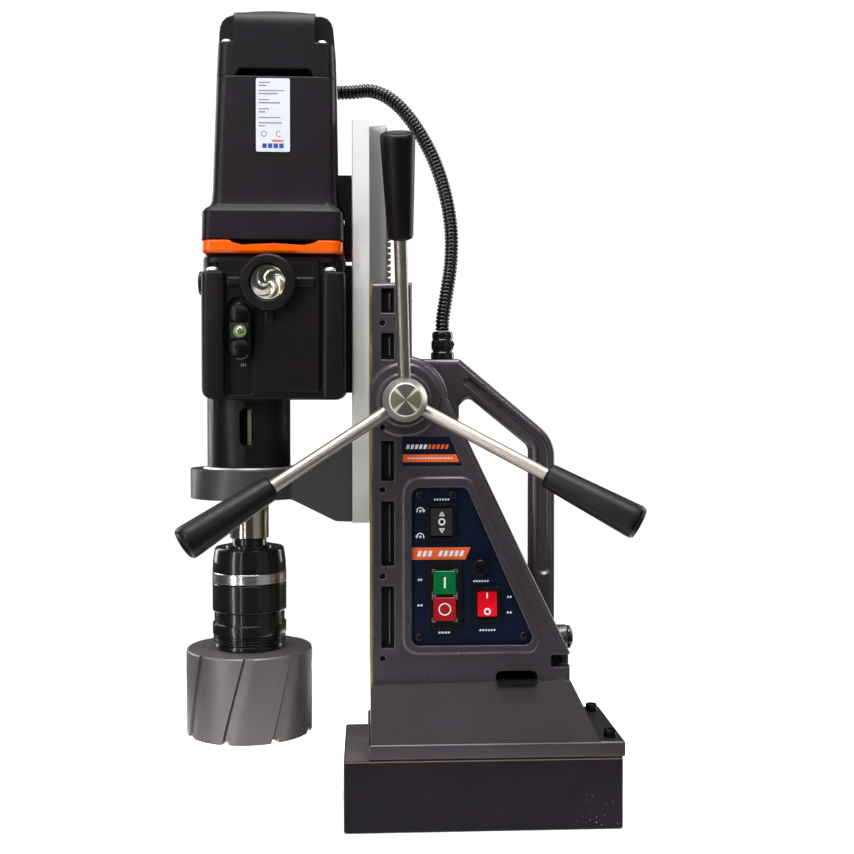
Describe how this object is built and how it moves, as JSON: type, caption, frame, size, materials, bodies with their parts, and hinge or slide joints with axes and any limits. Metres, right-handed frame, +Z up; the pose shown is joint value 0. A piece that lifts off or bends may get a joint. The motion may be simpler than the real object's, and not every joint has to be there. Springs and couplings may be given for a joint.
{
  "type": "magnetic drill press",
  "caption": "Portable drilling machine with a magnet base, a carriage fed by rack and handles, a motor head and an annular cutter.",
  "frame": {"origin": "centre of the magnet underside", "axes": "+Z up, +X from the spindle side to the carrying handle, -Y towards the operator"},
  "size_m": [0.3582, 0.1994, 0.6547],
  "materials": {
    "frame_paint": "satin gunmetal paint on an aluminium casting",
    "magnet_paint": "near-black paint with a fine texture on steel",
    "copper": null,
    "potting": "cast resin",
    "brass": "dull brass",
    "black_steel": "blackened steel",
    "core_steel": "laminated core steel",
    "panel_paint": "satin navy paint",
    "switch_black": "moulded black plastic",
    "red_plastic": "moulded red plastic",
    "green_plastic": "moulded green plastic",
    "board": "glass-epoxy board",
    "rubber": "black rubber or soft plastic",
    "steel": "turned and brushed steel",
    "grip_plastic": "moulded black plastic",
    "aluminium": "machined and anodised",
    "bracket_paint": "dark grey paint",
    "gearbox_paint": "black paint on an aluminium casting",
    "lens": "clear lens over a bright reflector",
    "orange_paint": "glossy orange paint on an aluminium ring",
    "motor_plastic": "moulded black plastic",
    "label": "printed white film",
    "gloss_black": "polished black oxide steel",
    "cutter_steel": "blasted grey steel"
  },
  "bodies": {
    "frame": {"magnet_housing": "magnet_paint", "magnet_coil": "copper", "magnet_potting": "potting", "frame_casting": "frame_paint", "wear_strip_near": "brass", "wear_strip_far": "brass", "base_bolt_rear_near": "black_steel", "base_bolt_rear_far": "black_steel", "panel_plate": "panel_paint", "badge_plate": "panel_paint", "direction_switch_frame": "switch_black", "magnet_switch_frame": "switch_black", "motor_switch_housing": "switch_black", "fuse_holder": "switch_black", "circuit_board": "board", "conduit_gland": "rubber", "mains_gland": "rubber", "rear_screw": "black_steel", "conduit": "rubber", "pinion_bush": "brass"},
    "carriage": {"slide_plate": "aluminium", "feed_rack": "steel", "spindle_bracket": "bracket_paint", "gearbox_housing": "gearbox_paint", "lamp_lens": "lens", "gearbox_screw_1": "steel", "gearbox_screw_2": "steel", "spindle_bearing": "steel", "motor_ring": "orange_paint", "motor_housing": "motor_plastic", "motor_cap": "motor_plastic", "cap_screw_1": "steel", "cap_screw_2": "steel", "motor_pad": "rubber", "rating_label": "label", "stator": "core_steel"},
    "spindle_set": {"spindle": "steel", "spindle_gear": "steel", "arbor": "gloss_black", "cutter": "cutter_steel"},
    "sleeve_set": {"release_sleeve": "gloss_black", "sleeve_band": "steel"},
    "rotor": {"armature": "core_steel"},
    "capstan": {"pinion_shaft": "steel", "capstan_hub": "steel", "feed_rod_1": "steel", "feed_rod_2": "steel", "feed_rod_3": "steel", "feed_grip_1": "grip_plastic", "feed_grip_2": "grip_plastic", "feed_grip_3": "grip_plastic"},
    "selector": {"gear_selector": "switch_black"},
    "knob": {"side_knob": "switch_black"},
    "direction_key": {"direction_rocker": "switch_black"},
    "magnet_key": {"magnet_rocker": "red_plastic"},
    "start_key": {"start_button": "green_plastic"},
    "stop_key": {"stop_button": "red_plastic"},
    "fuse_lid": {"fuse_cap": "switch_black"}
  },
  "joints": [
    {"name": "feed_slide", "type": "slide", "parent": "frame", "child": "carriage", "axis": [0, 0, 1], "range_m": [-0.155, 0.065], "deforming": ["conduit"]},
    {"name": "capstan_turn", "type": "hinge", "parent": "frame", "child": "capstan", "pos_m": [-0.0637, -0.062, 0.346], "axis": [0, 1, 0], "range_deg": [-802, 338]},
    {"name": "spindle_spin", "type": "hinge", "parent": "carriage", "child": "spindle_set", "pos_m": [-0.1917, 0, 0.3], "axis": [0, 0, 1], "continuous": true},
    {"name": "armature_spin", "type": "hinge", "parent": "carriage", "child": "rotor", "pos_m": [-0.1662, 0, 0.5], "axis": [0, 0, 1], "continuous": true},
    {"name": "sleeve_release", "type": "slide", "parent": "spindle_set", "child": "sleeve_set", "axis": [0, 0, 1], "range_m": [0, 0.005], "stiffness_N_per_m": 900, "springref_m": -0.006},
    {"name": "selector_turn", "type": "hinge", "parent": "carriage", "child": "selector", "pos_m": [-0.1923, -0.0586, 0.3995], "axis": [0, -1, 0], "range_deg": [0, 90]},
    {"name": "knob_turn", "type": "hinge", "parent": "carriage", "child": "knob", "pos_m": [-0.2234, -0.038, 0.439], "axis": [-1, 0, 0], "range_deg": [0, 90]},
    {"name": "direction_tilt", "type": "hinge", "parent": "frame", "child": "direction_key", "pos_m": [-0.0332, -0.0315, 0.2468], "axis": [1, 0, 0], "range_deg": [-8, 8]},
    {"name": "magnet_tilt", "type": "hinge", "parent": "frame", "child": "magnet_key", "pos_m": [0.004, -0.0315, 0.1795], "axis": [1, 0, 0], "range_deg": [0, 16]},
    {"name": "start_press", "type": "slide", "parent": "frame", "child": "start_key", "axis": [0, 1, 0], "range_m": [0, 0.003], "stiffness_N_per_m": 300, "springref_m": -0.001},
    {"name": "stop_press", "type": "slide", "parent": "frame", "child": "stop_key", "axis": [0, 1, 0], "range_m": [0, 0.003], "stiffness_N_per_m": 300, "springref_m": -0.001},
    {"name": "fuse_turn", "type": "hinge", "parent": "frame", "child": "fuse_lid", "pos_m": [-0.0017, -0.0395, 0.2097], "axis": [0, -1, 0], "range_deg": [0, 60]}
  ],
  "couplings": [
    {"joint": "capstan_turn", "follows": "feed_slide", "rad_per_m": 89.989},
    {"joint": "armature_spin", "follows": "spindle_spin", "ratio": -3.6364}
  ]
}
